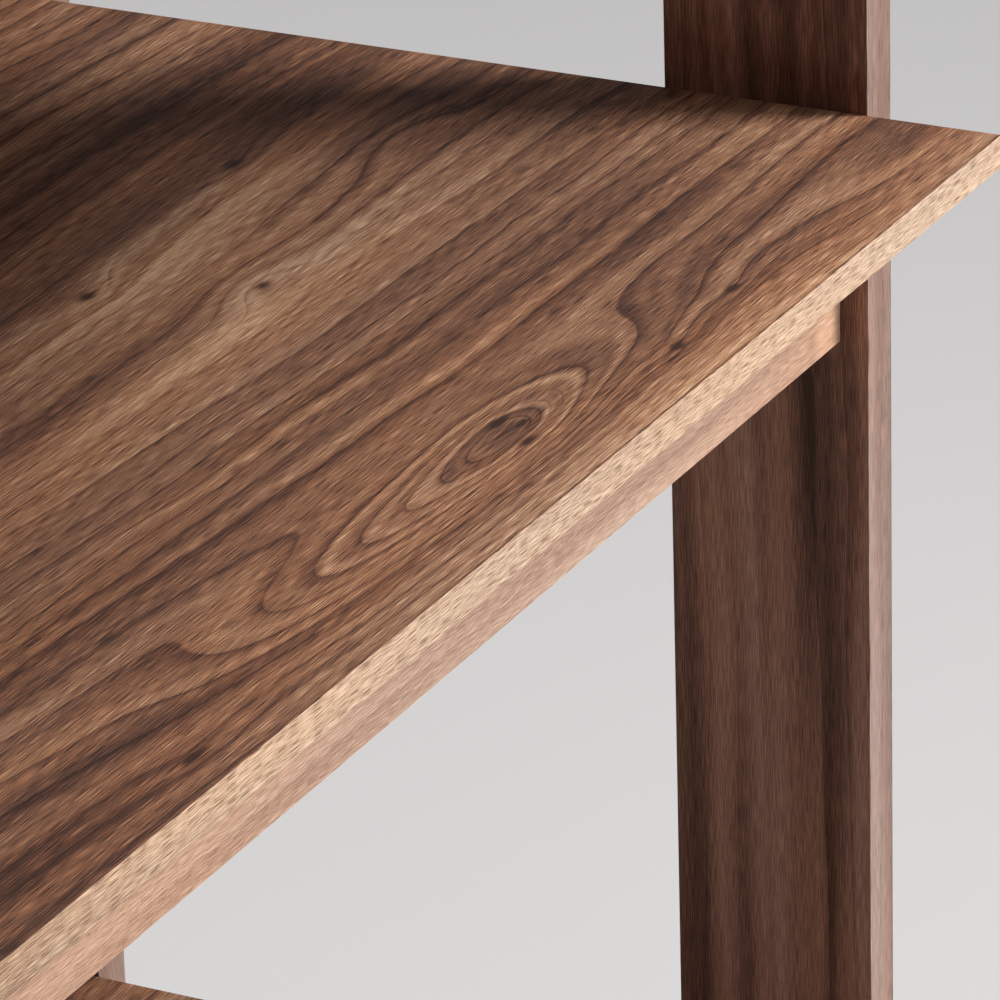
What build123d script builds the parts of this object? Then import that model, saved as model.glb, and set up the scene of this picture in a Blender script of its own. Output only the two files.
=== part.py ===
from build123d import *
import os

# Open bookcase with fixed and adjustable shelves. Millimetres, +Z up, front towards -Y.
# The origin is on the floor, at the centre of the overall length and depth.

# Overall frame
OVERALL_HEIGHT = 1800.0
CLEAR_LENGTH = 860.0
FRAME_DEPTH = 410.0
SHELF_OVERHANG = 50.0

# Boards
POST_THICKNESS = 20.0
POST_DEPTH = 78.0
PANEL_THICKNESS = 12.0
EDGE_BAND_THICKNESS = 1.0
APRON_HEIGHT = 74.0
APRON_THICKNESS = 20.0
APRON_RECESS = 11.0
SIDE_RAIL_THICKNESS = 18.0
BATTEN_HEIGHT = 24.0
BATTEN_INSET = 20.0
BACK_BATTEN_SETBACK = 4.0
ARRIS_RADIUS = 0.5
SHELF_END_CLEARANCE = 1.0

# Heights of the shelf tops that are fixed to the frame
FIXED_SHELF_TOPS = {"bottom": 130.0, "middle": 760.0, "top": OVERALL_HEIGHT}

# Rows of shelf-pin holes, and the row that each adjustable shelf stands on
ROW_PITCH = 32.0
LOWER_FIRST_ROW = 212.0
LOWER_ROW_COUNT = 6
UPPER_FIRST_ROW = 960.0
UPPER_ROW_COUNT = 20
ADJUSTABLE_ROWS = {
    "lower": LOWER_FIRST_ROW + 4 * ROW_PITCH,
    "centre": UPPER_FIRST_ROW + 4 * ROW_PITCH,
    "upper": UPPER_FIRST_ROW + 14 * ROW_PITCH,
}

# Shelf pins
PIN_RADIUS = 2.5
PIN_PLUG_LENGTH = 9.0
PIN_HOLE_RADIUS = 2.55
PIN_HOLE_DEPTH = 12.0
PIN_FLANGE_WIDTH = 8.0
PIN_FLANGE_THICKNESS = 1.2
PIN_FLANGE_DROP = 4.5
PIN_TONGUE_LENGTH = 11.0
PIN_TONGUE_THICKNESS = 2.5

# Connector bolts and barrel nuts
BOLT_RADIUS = 3.0
BOLT_HOLE_RADIUS = 3.2
BOLT_HEAD_RADIUS = 8.0
BOLT_HEAD_THICKNESS = 2.6
BOLT_SOCKET_WIDTH = 4.0
BOLT_SOCKET_DEPTH = 1.8
COUNTERBORE_RADIUS = 8.3
COUNTERBORE_DEPTH = 3.0
NUT_INSET = 30.0
NUT_RADIUS = 5.0
NUT_LENGTH = 14.0
NUT_POCKET_DEPTH = 17.0
NUT_SLOT_WIDTH = 1.2
NUT_SLOT_DEPTH = 1.4
BOLT_END_PAST_NUT = 6.0

# Dowels
DOWEL_RADIUS = 4.0
DOWEL_LENGTH = 30.0
DOWEL_DEPTH_IN_POST = 12.0
DOWEL_END_ROOM = 0.5
DOWEL_OFFSET = 24.0
FIT_CLEARANCE = 0.05

# Angle brackets under the fixed shelves, and their screws
BRACKET_LEG = 18.0
BRACKET_WIDTH = 20.0
BRACKET_PLATE = 2.0
BRACKET_HOLE_RADIUS = 2.1
BRACKET_HOLE_OFFSET = 11.0
BRACKET_POSITIONS = (-280.0, 0.0, 280.0)
SCREW_RADIUS = 1.75
SCREW_LENGTH = 10.0
SCREW_HEAD_RADIUS = 3.8
SCREW_HEAD_HEIGHT = 2.0
SCREW_RECESS_LENGTH = 3.6
SCREW_RECESS_WIDTH = 0.9
SCREW_RECESS_DEPTH = 1.2

# Floor glides and their nails
GLIDE_RADIUS = 8.5
GLIDE_HEIGHT = 4.0
GLIDE_CHAMFER = 1.0
GLIDE_OFFSET = 24.0
NAIL_RADIUS = 1.2
NAIL_LENGTH = 16.0
NAIL_HEAD_RADIUS = 3.0
NAIL_HEAD_THICKNESS = 0.8
NAIL_HEAD_LEVEL = 1.6

# Wall-fixing holes through the top back apron
WALL_HOLE_RADIUS = 2.75
WALL_HOLE_SPACING = 600.0
WALL_COUNTERSINK_RADIUS = 5.5
WALL_COUNTERSINK_DEPTH = 2.75

# Places worked out from the sizes above
INNER_X = CLEAR_LENGTH / 2
OUTER_X = INNER_X + POST_THICKNESS
BACK_Y = (FRAME_DEPTH + SHELF_OVERHANG) / 2
SHELF_FRONT_Y = -BACK_Y
POST_FRONT_Y = SHELF_FRONT_Y + SHELF_OVERHANG
POST_SPANS = {
    "front": (POST_FRONT_Y, POST_FRONT_Y + POST_DEPTH),
    "back": (BACK_Y - POST_DEPTH, BACK_Y),
}
POST_CENTRES = {row: sum(span) / 2 for row, span in POST_SPANS.items()}
APRON_SPANS = {
    "front": (POST_FRONT_Y + APRON_RECESS, POST_FRONT_Y + APRON_RECESS + APRON_THICKNESS),
    "back": (BACK_Y - APRON_THICKNESS, BACK_Y),
}
BATTEN_SPANS = {
    "front": APRON_SPANS["front"],
    "back": (BACK_Y - BACK_BATTEN_SETBACK - APRON_THICKNESS, BACK_Y - BACK_BATTEN_SETBACK),
}
SIDES = {"left": -1, "right": 1}
INWARDS = {"front": 1, "back": -1}
PIN_ROWS = [LOWER_FIRST_ROW + i * ROW_PITCH for i in range(LOWER_ROW_COUNT)]
PIN_ROWS += [UPPER_FIRST_ROW + i * ROW_PITCH for i in range(UPPER_ROW_COUNT)]


def apron_centre_z(level):
    """Mid-height of the aprons and side rails under a fixed shelf."""
    return FIXED_SHELF_TOPS[level] - PANEL_THICKNESS - APRON_HEIGHT / 2


def apron_centre_y(row):
    """Mid-thickness of the front or back aprons."""
    return sum(APRON_SPANS[row]) / 2


def block(x_span, y_span, z_span):
    """Plain rectangular solid between three pairs of limits."""
    spans = (x_span, y_span, z_span)
    centre = [sum(span) / 2 for span in spans]
    size = [max(span) - min(span) for span in spans]
    return Pos(*centre) * Box(*size)


def eased(solid, edges):
    """Round the given arrises as sandpaper leaves them."""
    return fillet(edges, ARRIS_RADIUS) if edges else solid


def rod(start, direction, radius, length):
    """Cylinder that begins at a point and runs along a direction."""
    plane = Plane(origin=start, z_dir=direction)
    return plane * Cylinder(radius, length, align=(Align.CENTER, Align.CENTER, Align.MIN))


def post(side, row):
    """Upright board with its rows of pin holes, bolt holes, dowel holes and nail holes."""
    sign = SIDES[side]
    x_span = (sign * INNER_X, sign * OUTER_X)
    body = block(x_span, POST_SPANS[row], (GLIDE_HEIGHT, OVERALL_HEIGHT))
    body = eased(body, body.edges().filter_by(Axis.Z))
    inner_x = sign * INNER_X
    outer_x = sign * OUTER_X
    cuts = []
    for z in PIN_ROWS:
        start = (inner_x, POST_CENTRES[row], z)
        cuts.append(rod(start, (sign, 0, 0), PIN_HOLE_RADIUS, PIN_HOLE_DEPTH))
    for level in FIXED_SHELF_TOPS:
        y = apron_centre_y(row)
        z = apron_centre_z(level)
        cuts.append(rod((inner_x, y, z), (sign, 0, 0), BOLT_HOLE_RADIUS, POST_THICKNESS))
        cuts.append(rod((outer_x, y, z), (-sign, 0, 0), COUNTERBORE_RADIUS, COUNTERBORE_DEPTH))
        for dz in (-DOWEL_OFFSET, DOWEL_OFFSET):
            hole_radius = DOWEL_RADIUS + FIT_CLEARANCE
            start = (inner_x, y, z + dz)
            cuts.append(rod(start, (sign, 0, 0), hole_radius, DOWEL_DEPTH_IN_POST))
            face_y = POST_SPANS[row][1] if row == "front" else POST_SPANS[row][0]
            start = (sign * (INNER_X + POST_THICKNESS / 2), face_y, z + dz)
            direction = (0, -INWARDS[row], 0)
            cuts.append(rod(start, direction, hole_radius, DOWEL_LENGTH / 2 + DOWEL_END_ROOM))
    for dy in (-GLIDE_OFFSET, GLIDE_OFFSET):
        start = (sign * (INNER_X + POST_THICKNESS / 2), POST_CENTRES[row] + dy, GLIDE_HEIGHT)
        cuts.append(rod(start, (0, 0, 1), NAIL_RADIUS + FIT_CLEARANCE, NAIL_LENGTH))
    return body - cuts


def apron_cuts(level, row):
    """Holes in an apron for its bolts, barrel nuts, dowels and bracket screws."""
    y = apron_centre_y(row)
    z = apron_centre_z(level)
    inward = INWARDS[row]
    inner_face = y + inward * APRON_THICKNESS / 2
    hole_radius = DOWEL_RADIUS + FIT_CLEARANCE
    dowel_depth = DOWEL_LENGTH - DOWEL_DEPTH_IN_POST + 2 * DOWEL_END_ROOM
    cuts = []
    for sign in SIDES.values():
        end = sign * INNER_X
        bolt_depth = NUT_INSET + BOLT_END_PAST_NUT + DOWEL_END_ROOM
        cuts.append(rod((end, y, z), (-sign, 0, 0), BOLT_HOLE_RADIUS, bolt_depth))
        start = (end - sign * NUT_INSET, inner_face, z)
        pocket_radius = NUT_RADIUS + FIT_CLEARANCE
        cuts.append(rod(start, (0, -inward, 0), pocket_radius, NUT_POCKET_DEPTH))
        for dz in (-DOWEL_OFFSET, DOWEL_OFFSET):
            cuts.append(rod((end, y, z + dz), (-sign, 0, 0), hole_radius, dowel_depth))
    for x in BRACKET_POSITIONS:
        start = (x, inner_face, z + APRON_HEIGHT / 2 - BRACKET_HOLE_OFFSET)
        cuts.append(rod(start, (0, -inward, 0), SCREW_RADIUS + FIT_CLEARANCE, SCREW_LENGTH))
    return cuts


def wall_hole_cuts(level, row):
    """Countersunk holes that take the wall screws, opening on the apron's inner face."""
    y_span = APRON_SPANS[row]
    z = apron_centre_z(level)
    cuts = []
    for x in (-WALL_HOLE_SPACING / 2, WALL_HOLE_SPACING / 2):
        cuts.append(rod((x, y_span[0], z), (0, 1, 0), WALL_HOLE_RADIUS, APRON_THICKNESS))
        cone = Cone(
            WALL_COUNTERSINK_RADIUS,
            WALL_HOLE_RADIUS,
            WALL_COUNTERSINK_DEPTH,
            align=(Align.CENTER, Align.CENTER, Align.MIN),
        )
        cuts.append(Plane(origin=(x, y_span[0], z), z_dir=(0, 1, 0)) * cone)
    return cuts


def apron(level, row):
    """Rail that carries the front or back of a fixed shelf."""
    top = FIXED_SHELF_TOPS[level] - PANEL_THICKNESS
    body = block((-INNER_X, INNER_X), APRON_SPANS[row], (top - APRON_HEIGHT, top))
    body = eased(body, body.edges().filter_by(Axis.X).sort_by(Axis.Z)[:2])
    body = body - apron_cuts(level, row)
    if (level, row) == ("top", "back"):
        body = body - wall_hole_cuts(level, row)
    return body


def side_rail(level, side):
    """Rail between the front and back posts of one side."""
    sign = SIDES[side]
    centre_x = sign * (INNER_X + POST_THICKNESS / 2)
    x_span = (centre_x - SIDE_RAIL_THICKNESS / 2, centre_x + SIDE_RAIL_THICKNESS / 2)
    y_span = (POST_SPANS["front"][1], POST_SPANS["back"][0])
    z = apron_centre_z(level)
    body = block(x_span, y_span, (z - APRON_HEIGHT / 2, z + APRON_HEIGHT / 2))
    body = eased(body, body.edges().filter_by(Axis.Y))
    cuts = []
    for y, direction in zip(y_span, (1, -1)):
        for dz in (-DOWEL_OFFSET, DOWEL_OFFSET):
            radius = DOWEL_RADIUS + FIT_CLEARANCE
            depth = DOWEL_LENGTH / 2 + DOWEL_END_ROOM
            cuts.append(rod((centre_x, y, z + dz), (0, direction, 0), radius, depth))
    return body - cuts


def shelf_panel(top, half_length):
    """Veneered board of a shelf, behind its front edge band."""
    y_span = (SHELF_FRONT_Y + EDGE_BAND_THICKNESS, BACK_Y)
    body = block((-half_length, half_length), y_span, (top - PANEL_THICKNESS, top))
    return eased(body, body.edges().filter_by(Axis.X).sort_by(Axis.Y)[2:])


def fixed_shelf_panel(level):
    """Shelf panel with the pilot holes of its bracket screws."""
    top = FIXED_SHELF_TOPS[level]
    body = shelf_panel(top, INNER_X)
    cuts = []
    for row, inward in INWARDS.items():
        y = apron_centre_y(row) + inward * (APRON_THICKNESS / 2 + BRACKET_HOLE_OFFSET)
        for x in BRACKET_POSITIONS:
            start = (x, y, top - PANEL_THICKNESS)
            depth = SCREW_LENGTH - BRACKET_PLATE + DOWEL_END_ROOM
            cuts.append(rod(start, (0, 0, 1), SCREW_RADIUS + FIT_CLEARANCE, depth))
    return body - cuts


def edge_band(top, half_length):
    """Real-wood strip glued to the front edge of a shelf."""
    y_span = (SHELF_FRONT_Y, SHELF_FRONT_Y + EDGE_BAND_THICKNESS)
    body = block((-half_length, half_length), y_span, (top - PANEL_THICKNESS, top))
    return eased(body, body.edges().filter_by(Axis.X).sort_by(Axis.Y)[:2])


def batten(under, row, half_length):
    """Stiffener glued under an adjustable shelf, short enough to clear the pins."""
    length = half_length - BATTEN_INSET
    body = block((-length, length), BATTEN_SPANS[row], (under - BATTEN_HEIGHT, under))
    return eased(body, body.edges().filter_by(Axis.X).sort_by(Axis.Z)[:2])


def shelf_pin(row_z, side, row):
    """Metal pin: plug in the post, flange against its face, tongue under the shelf."""
    sign = SIDES[side]
    face_x = sign * INNER_X
    y = POST_CENTRES[row]
    half_width = PIN_FLANGE_WIDTH / 2
    plug = rod((face_x, y, row_z), (sign, 0, 0), PIN_RADIUS, PIN_PLUG_LENGTH)
    tip = plug.edges().filter_by(GeomType.CIRCLE).sort_by(Axis.X)[-1 if sign > 0 else 0]
    plug = chamfer(tip, PIN_RADIUS / 5)
    top_z = row_z + PIN_RADIUS
    flange_x = (face_x - sign * PIN_FLANGE_THICKNESS, face_x)
    flange = block(flange_x, (y - half_width, y + half_width), (row_z - PIN_FLANGE_DROP, top_z))
    flange = fillet(flange.edges().filter_by(Axis.X).sort_by(Axis.Z)[:2], half_width * 0.9)
    tongue_x = (face_x - sign * PIN_TONGUE_LENGTH, face_x)
    tongue_z = (top_z - PIN_TONGUE_THICKNESS, top_z)
    tongue = block(tongue_x, (y - half_width, y + half_width), tongue_z)
    free_end = tongue.edges().filter_by(Axis.Z).sort_by(Axis.X)
    tongue = fillet(free_end[:2] if sign > 0 else free_end[2:], half_width * 0.7)
    return plug + flange + tongue


def connector_bolt(level, side, row):
    """Flat-headed bolt through a post into the barrel nut of an apron."""
    sign = SIDES[side]
    y = apron_centre_y(row)
    z = apron_centre_z(level)
    seat_x = sign * (OUTER_X - COUNTERBORE_DEPTH)
    head = rod((seat_x, y, z), (sign, 0, 0), BOLT_HEAD_RADIUS, BOLT_HEAD_THICKNESS)
    rim = head.edges().filter_by(GeomType.CIRCLE).sort_by(Axis.X)[-1 if sign > 0 else 0]
    head = fillet(rim, BOLT_HEAD_THICKNESS / 3)
    shank_length = POST_THICKNESS - COUNTERBORE_DEPTH + NUT_INSET + BOLT_END_PAST_NUT
    shank = rod((seat_x, y, z), (-sign, 0, 0), BOLT_RADIUS, shank_length)
    socket_plane = Plane(origin=(seat_x + sign * BOLT_HEAD_THICKNESS, y, z), z_dir=(-sign, 0, 0))
    hexagon = RegularPolygon(BOLT_SOCKET_WIDTH / 2, 6, major_radius=False)
    socket = extrude(socket_plane * hexagon, BOLT_SOCKET_DEPTH)
    return head + shank - socket


def barrel_nut(level, side, row):
    """Cross dowel that the connector bolt screws into."""
    sign = SIDES[side]
    inward = INWARDS[row]
    x = sign * (INNER_X - NUT_INSET)
    y = apron_centre_y(row)
    z = apron_centre_z(level)
    start = (x, y - inward * NUT_LENGTH / 2, z)
    body = rod(start, (0, inward, 0), NUT_RADIUS, NUT_LENGTH)
    bore_radius = BOLT_RADIUS + FIT_CLEARANCE
    body -= rod((x + NUT_LENGTH, y, z), (-1, 0, 0), bore_radius, 2 * NUT_LENGTH)
    mouth = y + inward * NUT_LENGTH / 2
    half_width = NUT_SLOT_WIDTH / 2
    slot_y = (mouth - inward * NUT_SLOT_DEPTH, mouth + inward)
    z_span = (z - half_width, z + half_width)
    return body - block((x - NUT_RADIUS - 1, x + NUT_RADIUS + 1), slot_y, z_span)


def dowel(start, direction):
    """Wooden dowel with chamfered ends."""
    body = rod(start, direction, DOWEL_RADIUS, DOWEL_LENGTH)
    return chamfer(body.edges().filter_by(GeomType.CIRCLE), DOWEL_RADIUS / 5)


def apron_dowels():
    """Dowels between the apron ends and the posts."""
    pieces = []
    for level in FIXED_SHELF_TOPS:
        for row in INWARDS:
            for sign in SIDES.values():
                for dz in (-DOWEL_OFFSET, DOWEL_OFFSET):
                    x = sign * (INNER_X + DOWEL_DEPTH_IN_POST - DOWEL_END_ROOM)
                    start = (x, apron_centre_y(row), apron_centre_z(level) + dz)
                    pieces.append(dowel(start, (-sign, 0, 0)))
    return pieces


def side_rail_dowels():
    """Dowels between the side rails and the posts."""
    pieces = []
    for level in FIXED_SHELF_TOPS:
        for sign in SIDES.values():
            for y in (POST_SPANS["front"][1], POST_SPANS["back"][0]):
                for dz in (-DOWEL_OFFSET, DOWEL_OFFSET):
                    x = sign * (INNER_X + POST_THICKNESS / 2)
                    start = (x, y - DOWEL_LENGTH / 2, apron_centre_z(level) + dz)
                    pieces.append(dowel(start, (0, 1, 0)))
    return pieces


def shelf_bracket(level, row, x):
    """Steel angle between an apron's inner face and the underside of its shelf."""
    inward = INWARDS[row]
    y = apron_centre_y(row) + inward * APRON_THICKNESS / 2
    z = FIXED_SHELF_TOPS[level] - PANEL_THICKNESS
    x_span = (x - BRACKET_WIDTH / 2, x + BRACKET_WIDTH / 2)
    upright = block(x_span, (y, y + inward * BRACKET_PLATE), (z - BRACKET_LEG, z))
    flat = block(x_span, (y, y + inward * BRACKET_LEG), (z - BRACKET_PLATE, z))
    body = upright + flat
    start = (x, y, z - BRACKET_HOLE_OFFSET)
    body -= rod(start, (0, inward, 0), BRACKET_HOLE_RADIUS, BRACKET_PLATE)
    start = (x, y + inward * BRACKET_HOLE_OFFSET, z)
    return body - rod(start, (0, 0, -1), BRACKET_HOLE_RADIUS, BRACKET_PLATE)


def screw(seat, direction):
    """Pan-head screw whose head sits at the seat and whose shank runs along the direction."""
    outward = tuple(-value for value in direction)
    head = rod(seat, outward, SCREW_HEAD_RADIUS, SCREW_HEAD_HEIGHT)
    plane = Plane(origin=seat, z_dir=outward)
    shank = rod(seat, direction, SCREW_RADIUS, SCREW_LENGTH)
    recess_level = SCREW_HEAD_HEIGHT - SCREW_RECESS_DEPTH / 2
    arms = Box(SCREW_RECESS_LENGTH, SCREW_RECESS_WIDTH, SCREW_RECESS_DEPTH)
    arms += Box(SCREW_RECESS_WIDTH, SCREW_RECESS_LENGTH, SCREW_RECESS_DEPTH)
    rim = head.edges().filter_by(GeomType.CIRCLE).sort_by_distance(seat)[-1]
    head = fillet(rim, SCREW_HEAD_HEIGHT / 2)
    return head + shank - plane * Pos(0, 0, recess_level) * arms


def bracket_screws():
    """One screw into the apron and one into the shelf for every bracket."""
    pieces = []
    for level, top in FIXED_SHELF_TOPS.items():
        under = top - PANEL_THICKNESS
        for row, inward in INWARDS.items():
            face = apron_centre_y(row) + inward * APRON_THICKNESS / 2
            for x in BRACKET_POSITIONS:
                seat = (x, face + inward * BRACKET_PLATE, under - BRACKET_HOLE_OFFSET)
                pieces.append(screw(seat, (0, -inward, 0)))
                seat = (x, face + inward * BRACKET_HOLE_OFFSET, under - BRACKET_PLATE)
                pieces.append(screw(seat, (0, 0, 1)))
    return pieces


def glide_places():
    """Centres of the glides under the posts."""
    for sign in SIDES.values():
        for y in POST_CENTRES.values():
            for dy in (-GLIDE_OFFSET, GLIDE_OFFSET):
                yield sign * (INNER_X + POST_THICKNESS / 2), y + dy


def glide_nail(x, y, clearance=0.0):
    """Nail that holds a glide, or the room for it when a clearance is given."""
    head_bottom = NAIL_HEAD_LEVEL - clearance
    head_height = NAIL_HEAD_THICKNESS + 2 * clearance
    head = rod((x, y, head_bottom), (0, 0, 1), NAIL_HEAD_RADIUS + clearance, head_height)
    shank_length = GLIDE_HEIGHT + NAIL_LENGTH - NAIL_HEAD_LEVEL - DOWEL_END_ROOM
    return head + rod((x, y, NAIL_HEAD_LEVEL), (0, 0, 1), NAIL_RADIUS + clearance, shank_length)


def floor_glide(x, y):
    """Plastic disc that the bookcase stands on."""
    body = rod((x, y, 0), (0, 0, 1), GLIDE_RADIUS, GLIDE_HEIGHT)
    lower_rim = body.edges().filter_by(GeomType.CIRCLE).sort_by(Axis.Z)[0]
    return chamfer(lower_rim, GLIDE_CHAMFER) - glide_nail(x, y, FIT_CLEARANCE)


def fixed_shelf_nodes():
    """Panels, edge bands, aprons and side rails of the fixed shelves."""
    nodes = {}
    for level, top in FIXED_SHELF_TOPS.items():
        nodes[f"{level}_shelf_panel"] = fixed_shelf_panel(level)
        nodes[f"{level}_shelf_edge_band"] = edge_band(top, INNER_X)
        for row in INWARDS:
            nodes[f"{level}_{row}_apron"] = apron(level, row)
        for side in SIDES:
            nodes[f"{level}_{side}_side_rail"] = side_rail(level, side)
    return nodes


def adjustable_shelf_nodes():
    """Panels, edge bands, battens and pins of the adjustable shelves."""
    nodes = {}
    half_length = INNER_X - SHELF_END_CLEARANCE
    for name, row_z in ADJUSTABLE_ROWS.items():
        under = row_z + PIN_RADIUS
        top = under + PANEL_THICKNESS
        nodes[f"{name}_adjustable_shelf_panel"] = shelf_panel(top, half_length)
        nodes[f"{name}_adjustable_shelf_edge_band"] = edge_band(top, half_length)
        for row in INWARDS:
            nodes[f"{name}_adjustable_{row}_batten"] = batten(under, row, half_length)
            for side in SIDES:
                nodes[f"{name}_{row}_{side}_shelf_pin"] = shelf_pin(row_z, side, row)
    return nodes


def fastener_nodes():
    """Groups of identical fasteners, each group in one node."""
    joints = [(level, side, row) for level in FIXED_SHELF_TOPS for side in SIDES for row in INWARDS]
    seats = [(level, row, x) for level in FIXED_SHELF_TOPS for row in INWARDS
             for x in BRACKET_POSITIONS]
    return {
        "connector_bolts": [connector_bolt(*place) for place in joints],
        "barrel_nuts": [barrel_nut(*place) for place in joints],
        "apron_dowels": apron_dowels(),
        "side_rail_dowels": side_rail_dowels(),
        "shelf_brackets": [shelf_bracket(*place) for place in seats],
        "bracket_screws": bracket_screws(),
        "floor_glides": [floor_glide(x, y) for x, y in glide_places()],
        "glide_nails": [glide_nail(x, y) for x, y in glide_places()],
    }


def all_nodes():
    """Every node of the bookcase by name."""
    nodes = {f"{row}_{side}_post": post(side, row) for row in INWARDS for side in SIDES}
    nodes.update(fixed_shelf_nodes())
    nodes.update(adjustable_shelf_nodes())
    nodes.update({name: Compound(pieces) for name, pieces in fastener_nodes().items()})
    return nodes


os.makedirs("parts", exist_ok=True)
for node_name, shape in all_nodes().items():
    export_step(shape, f"parts/{node_name}.step")
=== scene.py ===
from collections import namedtuple
import math

import bpy
from mathutils import Matrix, Vector


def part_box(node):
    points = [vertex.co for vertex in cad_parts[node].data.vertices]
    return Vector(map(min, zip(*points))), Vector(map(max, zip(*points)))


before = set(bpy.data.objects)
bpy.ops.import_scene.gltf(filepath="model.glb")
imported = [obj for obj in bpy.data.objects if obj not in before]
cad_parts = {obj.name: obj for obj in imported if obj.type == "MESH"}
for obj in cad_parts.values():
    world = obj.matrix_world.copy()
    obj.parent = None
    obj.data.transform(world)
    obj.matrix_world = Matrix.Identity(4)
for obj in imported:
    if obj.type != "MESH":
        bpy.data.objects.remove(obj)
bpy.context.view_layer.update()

# Camera: angles in degrees, distances in metres from the corner where the middle shelf's top
# meets the inner front arris of the front right post.
CAMERA_OFFSET = Vector((-1.8919, -0.8323, 0.7488))
CAMERA_HEADING = 27.389
CAMERA_PITCH = 23.327
CAMERA_ROLL = 1.701
CAMERA_LENS = 227.6
SENSOR_WIDTH = 36.0
CLIP_START = 0.05
CLIP_END = 100.0

# Light: places in metres, powers in watts, sun strengths in watts per square metre
WORLD_COLOUR = (0.97, 0.97, 1.0)
WORLD_STRENGTH = 0.12
KEY_POSITION = Vector((1.09, -1.43, 2.97))
KEY_TARGET = Vector((0.30, -0.10, 0.76))
KEY_SIZE = 0.55
KEY_POWER = 62.0
KEY_COLOUR = (1.0, 0.97, 0.93)
FRONT_POSITION = Vector((1.20, -2.15, 0.85))
FRONT_TARGET = Vector((0.35, 0.0, 0.80))
FRONT_SIZE = 1.2
FRONT_POWER = 36.0
FRONT_COLOUR = (1.0, 0.98, 0.96)
FILL_POSITION = Vector((-0.90, -2.2, 0.24))
FILL_TARGET = Vector((0.30, 0.0, 0.60))
FILL_SIZE = 0.4
FILL_POWER = 11.0
OVERHEAD_POSITION = Vector((0.0, -0.85, 4.0))
OVERHEAD_STRENGTH = 1.3
OVERHEAD_SPREAD = 28.0
FLOOR_COLOUR = (0.740, 0.740, 0.756)
FLOOR_RADIUS = 40.0
BACKDROP_COLOUR = (0.40, 0.40, 0.41)
BACKDROP_HEIGHT = 40.0
ROUND_SIDES = 96

LEVELS = ("bottom", "middle", "top")
ADJUSTABLE = ("lower", "centre", "upper")
ROWS = ("front", "back")
SIDES = ("left", "right")

# Albedos from dark to light, with their places on a 0 to 1 scale of tone
WALNUT_TONES = (
    (0.00, (0.048, 0.024, 0.018)),
    (0.25, (0.118, 0.054, 0.036)),
    (0.50, (0.250, 0.117, 0.067)),
    (0.75, (0.400, 0.216, 0.122)),
    (1.00, (0.640, 0.430, 0.280)),
)
POST_TONES = (
    (0.00, (0.055, 0.027, 0.017)),
    (0.30, (0.155, 0.075, 0.050)),
    (0.60, (0.320, 0.165, 0.112)),
    (1.00, (0.520, 0.320, 0.225)),
)
POST_EDGE_TONES = (
    (0.00, (0.156, 0.093, 0.074)),
    (0.50, (0.290, 0.189, 0.153)),
    (1.00, (0.424, 0.299, 0.242)),
)
RAIL_TONES = (
    (0.00, (0.435, 0.250, 0.168)),
    (0.50, (0.668, 0.430, 0.304)),
    (1.00, (0.850, 0.620, 0.450)),
)
BAND_TONES = (
    (0.00, (0.230, 0.125, 0.072)),
    (0.30, (0.470, 0.310, 0.200)),
    (0.55, (0.630, 0.450, 0.315)),
    (1.00, (0.800, 0.610, 0.440)),
)

# How a wood looks. Waves: how far the slow and the quick wave push the rings, in metres.
# Weights, in tone: the broad and the narrow bands, ring lines, fibres, dark pores, pale flecks.
# Spacing: metres from ring to ring. Cells: pores in a metre along and across the grain.
Look = namedtuple("Look", "waves bands lines fibres pores flecks spacing cells")
VENEER_LOOK = Look((0.030, 0.0040), (0.78, 0.78), 0.60, 0.46, 0.30, 0.22, 0.0100, (90.0, 5000.0))
SOLID_LOOK = Look((0.022, 0.0030), (1.15, 0.65), 0.28, 0.26, 0.14, 0.10, 0.0160, (110.0, 4200.0))
SOFT_LOOK = Look((0.022, 0.0030), (1.00, 0.85), 0.30, 0.36, 0.28, 0.14, 0.0140, (130.0, 4200.0))
STRIP_LOOK = Look((0.004, 0.0008), (0.30, 0.34), 0.14, 0.50, 0.40, 0.15, 0.0045, (140.0, 5000.0))

# Noise cells in a metre along and across the grain, for each layer of a wood
SLOW_WAVE_CELLS = (2.2, 9.0)
QUICK_WAVE_CELLS = (14.0, 55.0)
BROAD_BAND_CELLS = (0.9, 30.0)
NARROW_BAND_CELLS = (2.2, 125.0)
RING_WANDER_CELLS = (1.2, 22.0)
FIBRE_CELLS = (55.0, 2300.0)
HUE_CELLS = (3.5, 38.0)
WEAR_PATCHES = 35.0

# Added to a wood's seed for each layer, so that no layer repeats another
QUICK_WAVE_SEED = 2.0
RING_LINE_SEED = 3.0
FIBRE_SEED = 7.0
PORE_SEED = 12.0

# A seed moves the noise this many times as far across the grain as along it
CROSS_SEED = 1.7

# How far the rings wander, in rings, how sharply a ring darkens, and where its dark line ends
RING_WANDER = 3.0
RING_SHARPNESS = 9.0
RING_LINE_END = 0.95

# Part of the wander's noise over which a ring line's strength rises, and its two strengths
RING_STRENGTH_SPAN = (0.30, 0.60, 0.5, 1.0)

# Parts of the pore noise that are dark pores and pale flecks
PORE_SPAN = (0.55, 0.70)
FLECK_SPAN = (0.39, 0.27)

# A knot's core shorter than this is nearly black, and a longer one is only a dark haze
SMALL_CORE = 0.010
SMALL_CORE_TONE = 0.75
LARGE_CORE_TONE = 0.18

# How far the pattern moves across the grain for each metre of depth into the board
DEPTH_TURN = 0.8

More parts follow.
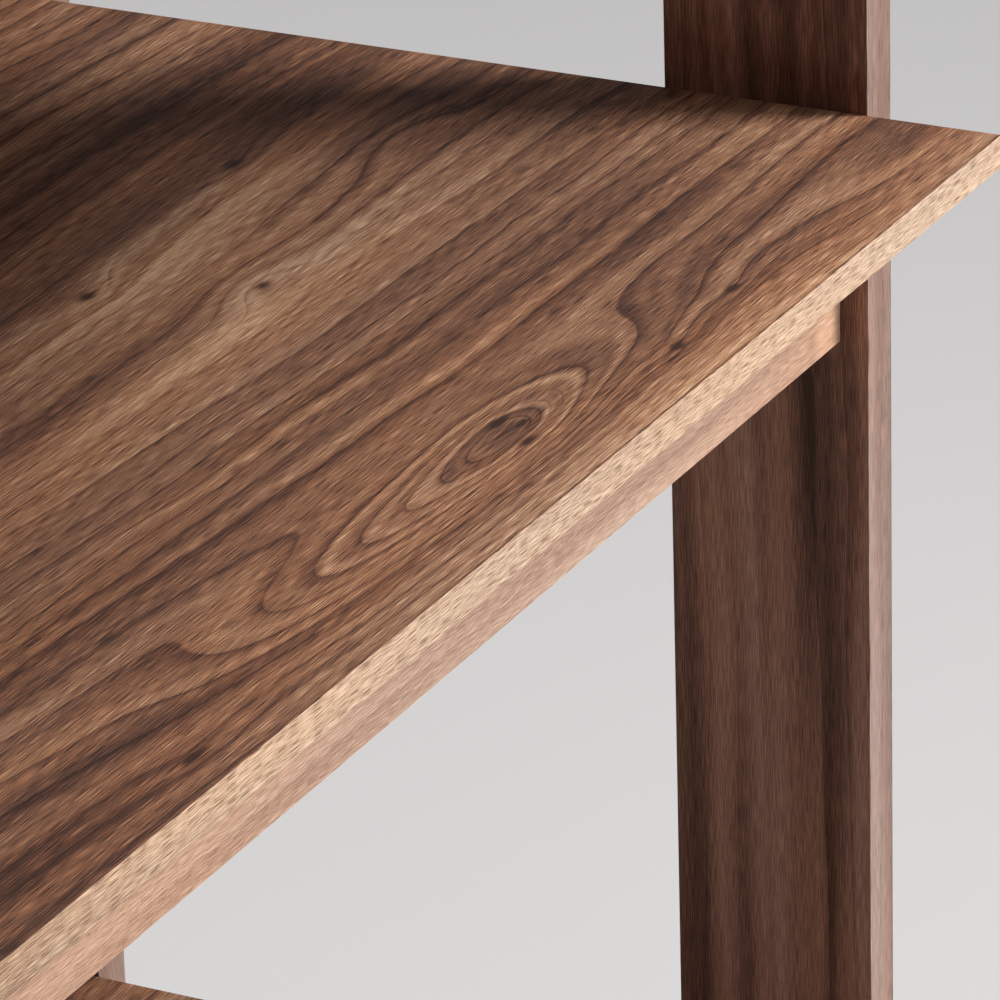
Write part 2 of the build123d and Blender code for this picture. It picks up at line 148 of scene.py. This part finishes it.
# Surface of the wood: warm and cool tints, rubbed tint, roughness, and pore depth in metres
WARM_TINT = (1.03, 0.985, 0.95, 1.0)
COOL_TINT = (0.97, 1.00, 1.05, 1.0)
RUBBED_TINT = (1.0, 0.95, 0.90, 1.0)
WOOD_ROUGHNESS = 0.52
PORE_ROUGHNESS = 0.14
RUBBED_ROUGHNESS = -0.10
PORE_DEPTH = 0.00012
WOOD_SPECULAR = 0.22

# Hue drifts between the two tints over this part of its noise
HUE_SPAN = (0.3, 0.7)
HUE_SEED = 31.0

# A face looks along an axis where that part of its normal passes through this span
FACING_SPAN = (0.6, 0.8)

# An arris is where the largest part of the normal falls through the first span.
# It is rubbed where the patches rise through the second.
ARRIS_SPAN = (0.985, 0.90)
PATCH_SPAN = (0.3, 0.6)

# How much a rubbed arris pales on a shelf, on an edge band, and on the frame
SHELF_RUB = 0.12
BAND_RUB = 0.06
FRAME_RUB = 0.22

# Metal and plastic pieces, and the stage. Cells: noise cells in a metre.
# Tint and roughness: how much the noise changes them, and their least value.
# Relief: height of the noise in metres.
NICKEL_COLOUR = (0.70, 0.68, 0.64)
ZINC_COLOUR = (0.62, 0.63, 0.65)
METAL_CELLS = 300.0
METAL_TINT = (0.25, 0.85)
METAL_ROUGHNESS = (0.25, 0.22)
METAL_RELIEF = 0.00002
GLIDE_COLOUR = (0.05, 0.035, 0.03)
PLASTIC_CELLS = 1500.0
PLASTIC_TINT = (0.4, 0.8)
PLASTIC_ROUGHNESS = (0.2, 0.4)
PLASTIC_RELIEF = 0.00005
FLOOR_TINT = (0.03, 0.985)
FLOOR_ROUGHNESS = 0.8
BACKDROP_CELLS = 0.05
BACKDROP_TINT = (0.04, 0.98)

# Shift of a board's grain for each step of its index, in metres along and across the grain.
# The shelves' seeds also go up in steps, and the dowels have one shift and one seed.
SHELF_STEP = (0.37, 0.61)
SHELF_SEED_STEP = 10.0
POST_STEP = (0.53, 0.29)
APRON_STEP = (0.41, 0.23)
SIDE_RAIL_STEP = (0.47, 0.31)
BATTEN_STEP = (0.43, 0.19)
DOWEL_SHIFT = (0.1, 0.2)
DOWEL_SEED = 90.0

# Knots of the middle shelf: centre, reach, swell of the rings, and dark core.
# Places are in metres from the front right post's inner face and back from its front face.
FEATURE_KNOTS = (
    ((-0.340, -0.014), (0.132, 0.017), 0.060, None),
    ((-0.302, -0.013), (0.034, 0.014), 0.024, (0.0160, 0.0070)),
    ((-0.297, -0.006), (0.010, 0.005), 0.003, (0.0045, 0.0016)),
    ((-0.294, -0.013), (0.010, 0.005), 0.002, (0.0030, 0.0012)),
    ((-0.306, -0.021), (0.010, 0.005), -0.003, (0.0040, 0.0014)),
    ((-0.218, -0.030), (0.022, 0.008), 0.008, (0.0035, 0.0020)),
    ((-0.166, -0.025), (0.020, 0.008), 0.006, (0.0035, 0.0016)),
    ((-0.542, -0.036), (0.026, 0.008), 0.006, (0.0050, 0.0016)),
    ((-0.254, 0.165), (0.022, 0.010), 0.008, (0.0040, 0.0020)),
    ((-0.223, 0.117), (0.024, 0.012), -0.011, (0.0035, 0.0020)),
    ((-0.126, 0.181), (0.022, 0.010), 0.007, (0.0040, 0.0020)),
    ((-0.080, 0.139), (0.030, 0.012), -0.010, None),
    ((-0.020, -0.030), (0.110, 0.020), 0.030, None),
)
# Pale and dark zones of the same shelf: centre, reach and tone. Some are streaks of the wood, and
# some are painted light and painted shade.
SHELF_TONE_AND_PAINTED_LIGHT_ZONES = (
    # These three are streaks of the wood.
    ((-0.30, -0.052), (0.90, 0.022), 0.20),
    ((-0.30, 0.040), (0.90, 0.024), -0.10),
    ((-0.33, 0.090), (0.18, 0.028), 0.32),
    # Painted shade: these two darken the left end, where the light falls off.
    ((-0.70, -0.028), (0.14, 0.030), -0.28),
    ((-0.49, 0.035), (0.11, 0.065), -0.17),
    # Painted light: lifts the shade beside the post.
    ((-0.03, 0.035), (0.06, 0.030), 0.18),
    # These two are pale streaks of the wood, partly painted light that lifts the shade over them.
    ((-0.20, 0.140), (0.11, 0.035), 0.26),
    ((-0.18, 0.094), (0.13, 0.012), 0.22),
    # A pale streak of the wood.
    ((-0.22, 0.019), (0.10, 0.012), 0.13),
    # Painted shadow of the post, at the back beside it.
    ((-0.06, 0.185), (0.06, 0.050), -0.24),
)
# Painted shade on the middle shelf's front edge: it darkens towards the left, where the light falls
# off.
# The reach across the grain is far more than its height.
EDGE_PAINTED_SHADE_ZONES = (((-0.85, 0.0), (0.22, 10.0), -0.75),)
# Zones of the front right post's inner face, in metres up from the shelf's top and back from the
# post's front face: a dark streak that leans towards the front, and a pale middle.
POST_ZONES = (
    ((-0.12, 0.023), (0.09, 0.005), -0.34),
    ((-0.25, 0.014), (0.10, 0.005), -0.34),
    ((-0.20, 0.046), (0.16, 0.018), 0.12),
)


class Graph:
    """Short names for building one material's nodes."""

    def __init__(self, name):
        self.material = bpy.data.materials.new(name)
        self.material.use_nodes = True
        self.tree = self.material.node_tree
        self.tree.nodes.clear()

    def put(self, socket, value):
        if isinstance(value, bpy.types.NodeSocket):
            self.tree.links.new(value, socket)
        else:
            socket.default_value = value

    def add(self, kind, inputs=None, **settings):
        """A node with its settings, and then its inputs by number or name."""
        node = self.tree.nodes.new(kind)
        for key, value in settings.items():
            setattr(node, key, value)
        for key, value in (inputs or {}).items():
            self.put(node.inputs[key], value)
        return node

    def math(self, operation, *values):
        node = self.add("ShaderNodeMath", dict(enumerate(values)), operation=operation)
        return node.outputs[0]

    def scaled(self, value, factor, offset=0.0):
        return self.math("MULTIPLY_ADD", value, factor, offset)

    def vector(self, x, y, z=0.0):
        return self.add("ShaderNodeCombineXYZ", {0: x, 1: y, 2: z}).outputs[0]

    def noise(self, vector, detail=0.0, dimensions="3D"):
        inputs = {"Vector": vector, "Scale": 1.0, "Detail": detail}
        node = self.add("ShaderNodeTexNoise", inputs, noise_dimensions=dimensions)
        return node.outputs["Fac"]

    def grain(self, along, across, stretch, fineness, seed, detail=0.0):
        """Noise drawn out along the grain: cells per metre along and across it."""
        u = self.scaled(along, stretch, seed)
        v = self.scaled(across, fineness, CROSS_SEED * seed)
        return self.noise(self.vector(u, v), detail, "2D")

    def times(self, vector, factor):
        inputs = {0: vector, "Scale": factor}
        return self.add("ShaderNodeVectorMath", inputs, operation="SCALE").outputs[0]

    def span(self, value, low, high, out_low=0.0, out_high=1.0):
        """Smooth step from one value at the low end to another at the high end."""
        inputs = {0: value, 1: low, 2: high, 3: out_low, 4: out_high}
        return self.add("ShaderNodeMapRange", inputs, interpolation_type="SMOOTHSTEP").outputs[0]

    def ramp(self, value, stops):
        node = self.add("ShaderNodeValToRGB", {0: value})
        elements = node.color_ramp.elements
        while len(elements) < len(stops):
            elements.new(0.5)
        for element, (place, colour) in zip(elements, stops):
            element.position = place
            element.color = (*colour, 1.0)
        return node.outputs[0]

    def blend(self, factor, first, second, mode="MIX"):
        """Mix of two colours, which are inputs 6 and 7 of the mix node, with output 2."""
        inputs = {0: factor, 6: first, 7: second}
        node = self.add("ShaderNodeMix", inputs, data_type="RGBA", blend_type=mode)
        return node.outputs[2]

    def finish(self, colour, roughness, height, bump, **shader):
        inputs = {"Base Color": colour, "Roughness": roughness}
        inputs.update({key.replace("_", " "): value for key, value in shader.items()})
        bump_inputs = {"Height": height, "Distance": bump, "Strength": 1.0}
        inputs["Normal"] = self.add("ShaderNodeBump", bump_inputs).outputs[0]
        bsdf = self.add("ShaderNodeBsdfPrincipled", inputs)
        output = self.add("ShaderNodeOutputMaterial")
        self.tree.links.new(bsdf.outputs[0], output.inputs[0])
        return self.material


def grain_axes(graph, order, shift):
    """Place along the grain, and across it with the depth added, in metres.

    The depth turns the pattern round the board's arrises, so each face has its own.
    """
    point = graph.add("ShaderNodeTexCoord").outputs["Object"]
    parts = graph.add("ShaderNodeSeparateXYZ", {0: point}).outputs
    along, across, depth = [parts["XYZ".index(axis)] for axis in order]
    along = graph.math("ADD", along, shift[0])
    across = graph.math("ADD", across, shift[1])
    return along, graph.math("MULTIPLY_ADD", depth, DEPTH_TURN, across)


def normal_parts(graph):
    """Sizes of the surface normal's three parts."""
    normal = graph.add("ShaderNodeNewGeometry").outputs["True Normal"]
    size = graph.add("ShaderNodeVectorMath", {0: normal}, operation="ABSOLUTE").outputs[0]
    return graph.add("ShaderNodeSeparateXYZ", {0: size}).outputs


def facing(graph, axis):
    """1 on faces that look along an axis, either way, and 0 on the others."""
    return graph.span(normal_parts(graph)["XYZ".index(axis)], *FACING_SPAN)


def arris_wear(graph, along):
    """1 where an eased arris is rubbed, in patches, and 0 on the flat faces."""
    x, y, z = normal_parts(graph)
    most = graph.math("MAXIMUM", graph.math("MAXIMUM", x, y), z)
    patches = graph.noise(graph.vector(graph.scaled(along, WEAR_PATCHES), 0.0), 1.0, "2D")
    return graph.math("MULTIPLY", graph.span(most, *ARRIS_SPAN), graph.span(patches, *PATCH_SPAN))


def bell(graph, along, across, centre, reach):
    """Smooth bump of height 1 at a centre, with its own reach along and across."""
    u = graph.scaled(along, 1 / reach[0], -centre[0] / reach[0])
    v = graph.scaled(across, 1 / reach[1], -centre[1] / reach[1])
    square = graph.math("MULTIPLY_ADD", u, u, graph.math("MULTIPLY", v, v))
    return graph.math("EXPONENT", graph.scaled(square, -1.0))


def growth(graph, along, across, seed, waves):
    """Across-grain coordinate that follows the waves of the growth rings."""
    slow = graph.grain(along, across, *SLOW_WAVE_CELLS, seed)
    quick = graph.grain(along, across, *QUICK_WAVE_CELLS, seed + QUICK_WAVE_SEED)
    total = graph.math("MULTIPLY_ADD", slow, waves[0], across)
    return graph.math("MULTIPLY_ADD", quick, waves[1], total)


def bands(graph, along, rings, seed, weights):
    """Tone about 0.5 from broad bands and narrow streaks that follow the rings."""
    tone = 0.5
    for (stretch, fineness), weight in zip((BROAD_BAND_CELLS, NARROW_BAND_CELLS), weights):
        layer = graph.grain(along, rings, stretch, fineness, seed + fineness, 1.0)
        tone = graph.math("ADD", graph.scaled(layer, weight, -weight / 2), tone)
    return tone


def ring_lines(graph, along, rings, spacing, seed):
    """Dark late-wood lines: each ring darkens slowly and ends sharply."""
    wander = graph.grain(along, rings, *RING_WANDER_CELLS, seed)
    phase = graph.math("MULTIPLY_ADD", wander, RING_WANDER, graph.scaled(rings, 1 / spacing))
    saw = graph.math("FRACT", phase)
    rise = graph.math("POWER", saw, RING_SHARPNESS)
    line = graph.math("MULTIPLY", rise, graph.span(saw, RING_LINE_END, 1.0, 1.0, 0.0))
    return graph.math("MULTIPLY", line, graph.span(wander, *RING_STRENGTH_SPAN))


def walnut_tone(graph, along, across, seed, look, knots=(), zones=()):
    """Tone of the wood, with the painted light and shade of any zones, and its pores."""
    rings = growth(graph, along, across, seed, look.waves)
    spots = 0.0
    for centre, reach, lift, core in knots:
        rings = graph.math("MULTIPLY_ADD", bell(graph, along, across, centre, reach), lift, rings)
        if core:
            depth = SMALL_CORE_TONE if core[0] < SMALL_CORE else LARGE_CORE_TONE
            spots = graph.math("MULTIPLY_ADD", bell(graph, along, across, centre, core), depth, spots)
    tone = bands(graph, along, rings, seed, look.bands)
    # Zones: streaks of the wood, and on the middle shelf painted light and painted shade.
    for centre, reach, change in zones:
        tone = graph.math("MULTIPLY_ADD", bell(graph, along, across, centre, reach), change, tone)
    lines = ring_lines(graph, along, rings, look.spacing, seed + RING_LINE_SEED)
    fine = graph.grain(along, across, *FIBRE_CELLS, seed + FIBRE_SEED, 1.0)
    dashes = graph.grain(along, across, *look.cells, seed + PORE_SEED)
    pores = graph.span(dashes, *PORE_SPAN)
    flecks = graph.span(dashes, *FLECK_SPAN)
    tone = graph.math("MULTIPLY_ADD", lines, -look.lines, tone)
    tone = graph.math("ADD", graph.scaled(fine, look.fibres, -look.fibres / 2), tone)
    tone = graph.math("MULTIPLY_ADD", pores, -look.pores, tone)
    tone = graph.math("MULTIPLY_ADD", flecks, look.flecks, tone)
    if knots:
        tone = graph.math("SUBTRACT", tone, spots)
    return tone, pores


def wood_finish(graph, along, across, pores, colour, rub=FRAME_RUB):
    """Oiled wood whose hue drifts, rougher in its pores, pale and smooth on rubbed arrises."""
    drift = graph.span(graph.grain(along, across, *HUE_CELLS, HUE_SEED), *HUE_SPAN)
    tint = graph.blend(drift, WARM_TINT, COOL_TINT)
    colour = graph.blend(1.0, colour, tint, "MULTIPLY")
    wear = arris_wear(graph, along)
    rubbed = graph.blend(1.0, colour, RUBBED_TINT, "SCREEN")
    colour = graph.blend(graph.scaled(wear, rub), colour, rubbed)
    smooth = graph.scaled(wear, RUBBED_ROUGHNESS, WOOD_ROUGHNESS)
    roughness = graph.math("MULTIPLY_ADD", pores, PORE_ROUGHNESS, smooth)
    return graph.finish(colour, roughness, pores, -PORE_DEPTH, Specular_IOR_Level=WOOD_SPECULAR)


def shelf_material(name, seed, shift, knots=(), zones=()):
    graph = Graph(name)
    along, across = grain_axes(graph, "XYZ", shift)
    tone, pores = walnut_tone(graph, along, across, seed, VENEER_LOOK, knots, zones)
    return wood_finish(graph, along, across, pores, graph.ramp(tone, WALNUT_TONES), SHELF_RUB)


def band_material(name, seed, shift, zones=()):
    graph = Graph(name)
    along, across = grain_axes(graph, "XZY", shift)
    tone, pores = walnut_tone(graph, along, across, seed, STRIP_LOOK, zones=zones)
    front, top = graph.ramp(tone, BAND_TONES), graph.ramp(tone, WALNUT_TONES)
    colour = graph.blend(facing(graph, "Z"), front, top)
    return wood_finish(graph, along, across, pores, colour, BAND_RUB)


def post_material(name, seed, shift, zones=()):
    graph = Graph(name)
    along, across = grain_axes(graph, "ZYX", shift)
    tone, pores = walnut_tone(graph, along, across, seed, SOLID_LOOK, zones=zones)
    side, edge = graph.ramp(tone, POST_TONES), graph.ramp(tone, POST_EDGE_TONES)
    return wood_finish(graph, along, across, pores, graph.blend(facing(graph, "Y"), side, edge))


def rail_material(name, seed, shift, order="XZY", stops=RAIL_TONES, look=SOFT_LOOK):
    graph = Graph(name)
    along, across = grain_axes(graph, order, shift)
    tone, pores = walnut_tone(graph, along, across, seed, look)
    return wood_finish(graph, along, across, pores, graph.ramp(tone, stops))


def metal_material(name, colour):
    graph = Graph(name)
    point = graph.add("ShaderNodeTexCoord").outputs["Object"]
    mottle = graph.noise(graph.times(point, METAL_CELLS), 2.0)
    tint = graph.scaled(mottle, *METAL_TINT)
    shade = graph.blend(1.0, (*colour, 1.0), graph.vector(tint, tint, tint), "MULTIPLY")
    roughness = graph.scaled(mottle, *METAL_ROUGHNESS)
    return graph.finish(shade, roughness, mottle, METAL_RELIEF, Metallic=1.0)


def plastic_material(name, colour):
    graph = Graph(name)
    point = graph.add("ShaderNodeTexCoord").outputs["Object"]
    grit = graph.noise(graph.times(point, PLASTIC_CELLS), 2.0)
    tint = graph.scaled(grit, *PLASTIC_TINT)
    shade = graph.blend(1.0, (*colour, 1.0), graph.vector(tint, tint, tint), "MULTIPLY")
    roughness = graph.scaled(grit, *PLASTIC_ROUGHNESS)
    return graph.finish(shade, roughness, grit, PLASTIC_RELIEF)


def floor_material():
    graph = Graph("pale_floor")
    point = graph.add("ShaderNodeTexCoord").outputs["Object"]
    cloud = graph.noise(point, detail=3.0)
    tint = graph.scaled(cloud, *FLOOR_TINT)
    shade = graph.blend(1.0, (*FLOOR_COLOUR, 1.0), graph.vector(tint, tint, tint), "MULTIPLY")
    return graph.finish(shade, FLOOR_ROUGHNESS, cloud, 0.0)


def backdrop_material():
    graph = Graph("pale_backdrop")
    point = graph.add("ShaderNodeTexCoord").outputs["Object"]
    cloud = graph.noise(graph.times(point, BACKDROP_CELLS), 2.0)
    tint = graph.scaled(cloud, *BACKDROP_TINT)
    shade = graph.blend(1.0, (*BACKDROP_COLOUR, 1.0), graph.vector(tint, tint, tint), "MULTIPLY")
    glow = graph.add("ShaderNodeEmission", {"Color": shade})
    output = graph.add("ShaderNodeOutputMaterial")
    graph.tree.links.new(glow.outputs[0], output.inputs[0])
    return graph.material


def grain_shift(step, index):
    """Shift of a board's grain, so that no two boards look alike."""
    return (step[0] * index, step[1] * index)


def dress(node, material):
    """Gives a CAD node its material in every slot."""
    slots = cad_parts[node].data.materials
    slots.clear()
    slots.append(material)


def dress_shelves():
    """Veneer on every shelf panel and the strips on their front edges."""
    right, front, top = arris()
    for index, name in enumerate(LEVELS + ADJUSTABLE):
        stem = f"{name}_shelf" if name in LEVELS else f"{name}_adjustable_shelf"
        shift = grain_shift(SHELF_STEP, index)
        if name == "middle":
            shift = (-right, -front - DEPTH_TURN * top)
        # The middle shelf's zones hold painted light and painted shade, and its edge band painted
        # shade towards the left.
        knots_and_zones = (FEATURE_KNOTS, SHELF_TONE_AND_PAINTED_LIGHT_ZONES) if name == "middle" else ()
        edge = EDGE_PAINTED_SHADE_ZONES if name == "middle" else ()
        seed = SHELF_SEED_STEP * index
        dress(f"{stem}_panel", shelf_material(f"{stem}_veneer", seed, shift, *knots_and_zones))
        dress(f"{stem}_edge_band", band_material(f"{stem}_edge", seed, shift, edge))


def post_zones(shift):
    """The front right post's zones in its own grain coordinates."""
    right, front, top = arris()
    along = top + shift[0]
    across = front + DEPTH_TURN * right + shift[1]
    return [((up + along, back + across), reach, change) for (up, back), reach, change in POST_ZONES]


def dress_frame():
    """Posts, aprons, side rails and battens, each with its own stretch of grain."""
    index = 0
    for row in ROWS:
        for side in SIDES:
            index += 1
            name = f"{row}_{side}_post"
            shift = grain_shift(POST_STEP, index)
            zones = post_zones(shift) if name == "front_right_post" else ()
            dress(name, post_material(f"{name}_walnut", index, shift, zones))
    for level in LEVELS:
        for row in ROWS:
            index += 1
            shift = grain_shift(APRON_STEP, index)
            name = f"{level}_{row}_apron"
            dress(name, rail_material(f"{name}_wood", index, shift))
        for side in SIDES:
            index += 1
            shift = grain_shift(SIDE_RAIL_STEP, index)
            name = f"{level}_{side}_side_rail"
            dress(name, rail_material(f"{name}_wood", index, shift, "YZX", POST_TONES, SOLID_LOOK))
    for name in ADJUSTABLE:
        for row in ROWS:
            index += 1
            shift = grain_shift(BATTEN_STEP, index)
            batten = f"{name}_adjustable_{row}_batten"
            dress(batten, rail_material(f"{batten}_wood", index, shift))


def dress_fittings():
    """Metal, dowel and plastic pieces."""
    nickel = metal_material("satin_nickel", NICKEL_COLOUR)
    zinc = metal_material("zinc_plate", ZINC_COLOUR)
    for name in ADJUSTABLE:
        for row in ROWS:
            for side in SIDES:
                dress(f"{name}_{row}_{side}_shelf_pin", nickel)
    for node in ("connector_bolts", "barrel_nuts", "shelf_brackets", "bracket_screws", "glide_nails"):
        dress(node, zinc)
    dowel = rail_material("beech_dowel", DOWEL_SEED, DOWEL_SHIFT, stops=BAND_TONES)
    dress("apron_dowels", dowel)
    dress("side_rail_dowels", dowel)
    dress("floor_glides", plastic_material("glide_plastic", GLIDE_COLOUR))


def arris():
    """Corner where the middle shelf's top meets the inner front arris of the front right post."""
    post_low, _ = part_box("front_right_post")
    _, shelf_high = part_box("middle_shelf_panel")
    return Vector((post_low.x, post_low.y, shelf_high.z))


def add_camera():
    data = bpy.data.cameras.new("camera")
    data.lens = CAMERA_LENS
    data.sensor_width = SENSOR_WIDTH
    data.clip_start = CLIP_START
    data.clip_end = CLIP_END
    camera = bpy.data.objects.new("camera", data)
    bpy.context.scene.collection.objects.link(camera)
    heading, pitch = math.radians(CAMERA_HEADING), math.radians(CAMERA_PITCH)
    forward = Vector((
        math.cos(heading) * math.cos(pitch),
        math.sin(heading) * math.cos(pitch),
        -math.sin(pitch),
    ))
    turn = forward.to_track_quat("-Z", "Y").to_matrix().to_4x4()
    roll = Matrix.Rotation(math.radians(-CAMERA_ROLL), 4, "Z")
    camera.matrix_world = Matrix.Translation(arris() + CAMERA_OFFSET) @ turn @ roll
    bpy.context.scene.camera = camera


def add_light(name, kind, place, target, colour, energy):
    data = bpy.data.lights.new(name, kind)
    data.color = colour
    data.energy = energy
    light = bpy.data.objects.new(name, data)
    bpy.context.scene.collection.objects.link(light)
    light.location = place
    light.rotation_euler = (target - place).to_track_quat("-Z", "Y").to_euler()
    light.visible_camera = False
    return light


def add_lights(floor):
    """A key from the front right, low lights on both sides in front and a soft one overhead.

    The low lights leave out the floor, which would show where they stand.
    """
    world = bpy.data.worlds.new("studio")
    world.use_nodes = True
    background = world.node_tree.nodes["Background"]
    background.inputs["Color"].default_value = (*WORLD_COLOUR, 1.0)
    background.inputs["Strength"].default_value = WORLD_STRENGTH
    bpy.context.scene.world = world
    key = add_light("key", "AREA", KEY_POSITION, KEY_TARGET, KEY_COLOUR, KEY_POWER)
    key.data.size = KEY_SIZE
    front = add_light("front", "AREA", FRONT_POSITION, FRONT_TARGET, FRONT_COLOUR, FRONT_POWER)
    front.data.size = FRONT_SIZE
    fill = add_light("fill", "AREA", FILL_POSITION, FILL_TARGET, FRONT_COLOUR, FILL_POWER)
    fill.data.size = FILL_SIZE
    overhead = add_light(
        "overhead", "SUN", OVERHEAD_POSITION, Vector(), FRONT_COLOUR, OVERHEAD_STRENGTH
    )
    overhead.data.angle = math.radians(OVERHEAD_SPREAD)
    receivers = bpy.data.collections.new("low_light_receivers")
    receivers.objects.link(floor)
    receivers.collection_objects[0].light_linking.link_state = "EXCLUDE"
    for light in (front, fill):
        light.light_linking.receiver_collection = receivers


def ring_of_points(height):
    """Points round the floor's rim at one height."""
    angles = [math.tau * index / ROUND_SIDES for index in range(ROUND_SIDES)]
    return [(FLOOR_RADIUS * math.cos(a), FLOOR_RADIUS * math.sin(a), height) for a in angles]


def add_stage(name, points, faces, material):
    mesh = bpy.data.meshes.new(name)
    mesh.from_pydata(points, [], faces)
    mesh.materials.append(material)
    stage = bpy.data.objects.new(name, mesh)
    bpy.context.scene.collection.objects.link(stage)
    return stage


def add_floor():
    return add_stage("floor", ring_of_points(0.0), [range(ROUND_SIDES)], floor_material())


def add_backdrop():
    """Pale wall round the floor's rim that lights nothing and casts no shadow."""
    points = ring_of_points(0.0) + ring_of_points(BACKDROP_HEIGHT)
    following = [(index + 1) % ROUND_SIDES for index in range(ROUND_SIDES)]
    faces = [(i, n, ROUND_SIDES + n, ROUND_SIDES + i) for i, n in enumerate(following)]
    wall = add_stage("backdrop", points, faces, backdrop_material())
    wall.visible_diffuse = False
    wall.visible_glossy = False
    wall.visible_transmission = False
    wall.visible_shadow = False


add_camera()
add_lights(add_floor())
add_backdrop()
dress_shelves()
dress_frame()
dress_fittings()
bpy.context.scene.view_settings.view_transform = "Standard"
